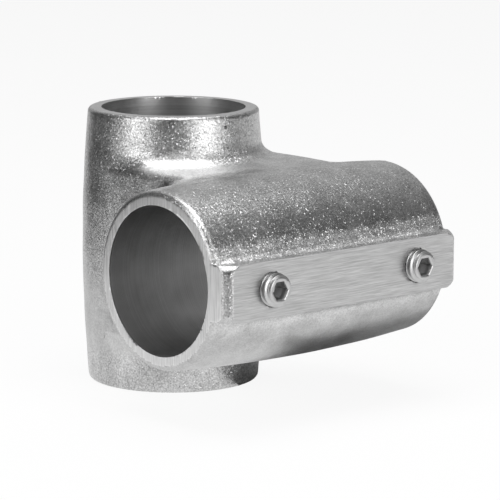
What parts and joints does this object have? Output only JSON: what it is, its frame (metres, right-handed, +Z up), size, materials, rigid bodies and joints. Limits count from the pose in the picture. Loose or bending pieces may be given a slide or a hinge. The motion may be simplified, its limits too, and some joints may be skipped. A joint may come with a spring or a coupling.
{
  "type": "cross tube clamp fitting",
  "caption": "Cast cross fitting with two open sleeves at right angles, offset side by side, that clamps a level tube to an upright tube with hexagon socket set screws.",
  "frame": {"origin": "on the post bore's axis, halfway along the post sleeve", "axes": "+Z up along the post bore; +X along the rail bore; -Y towards the rail sleeve and its pad"},
  "size_m": [0.1036, 0.1285, 0.0944],
  "materials": {
    "cast_metal": "tumbled casting with milled pads and faced rail ends",
    "set_screw_steel": "plated"
  },
  "bodies": {
    "casting": {"casting": "cast_metal"},
    "rail_set_screw_left": {"rail_set_screw_left": "set_screw_steel"},
    "rail_set_screw_right": {"rail_set_screw_right": "set_screw_steel"},
    "post_set_screw_upper": {"post_set_screw_upper": "set_screw_steel"},
    "post_set_screw_lower": {"post_set_screw_lower": "set_screw_steel"}
  },
  "joints": [
    {"name": "rail_screw_travel_left", "type": "slide", "parent": "casting", "child": "rail_set_screw_left", "axis": [0, 1, 0], "range_m": [-0.005, 0.0035]},
    {"name": "rail_screw_travel_right", "type": "slide", "parent": "casting", "child": "rail_set_screw_right", "axis": [0, 1, 0], "range_m": [-0.005, 0.0035]},
    {"name": "post_screw_travel_upper", "type": "slide", "parent": "casting", "child": "post_set_screw_upper", "axis": [0, -1, 0], "range_m": [-0.005, 0.0035]},
    {"name": "post_screw_travel_lower", "type": "slide", "parent": "casting", "child": "post_set_screw_lower", "axis": [0, -1, 0], "range_m": [-0.005, 0.0035]}
  ]
}
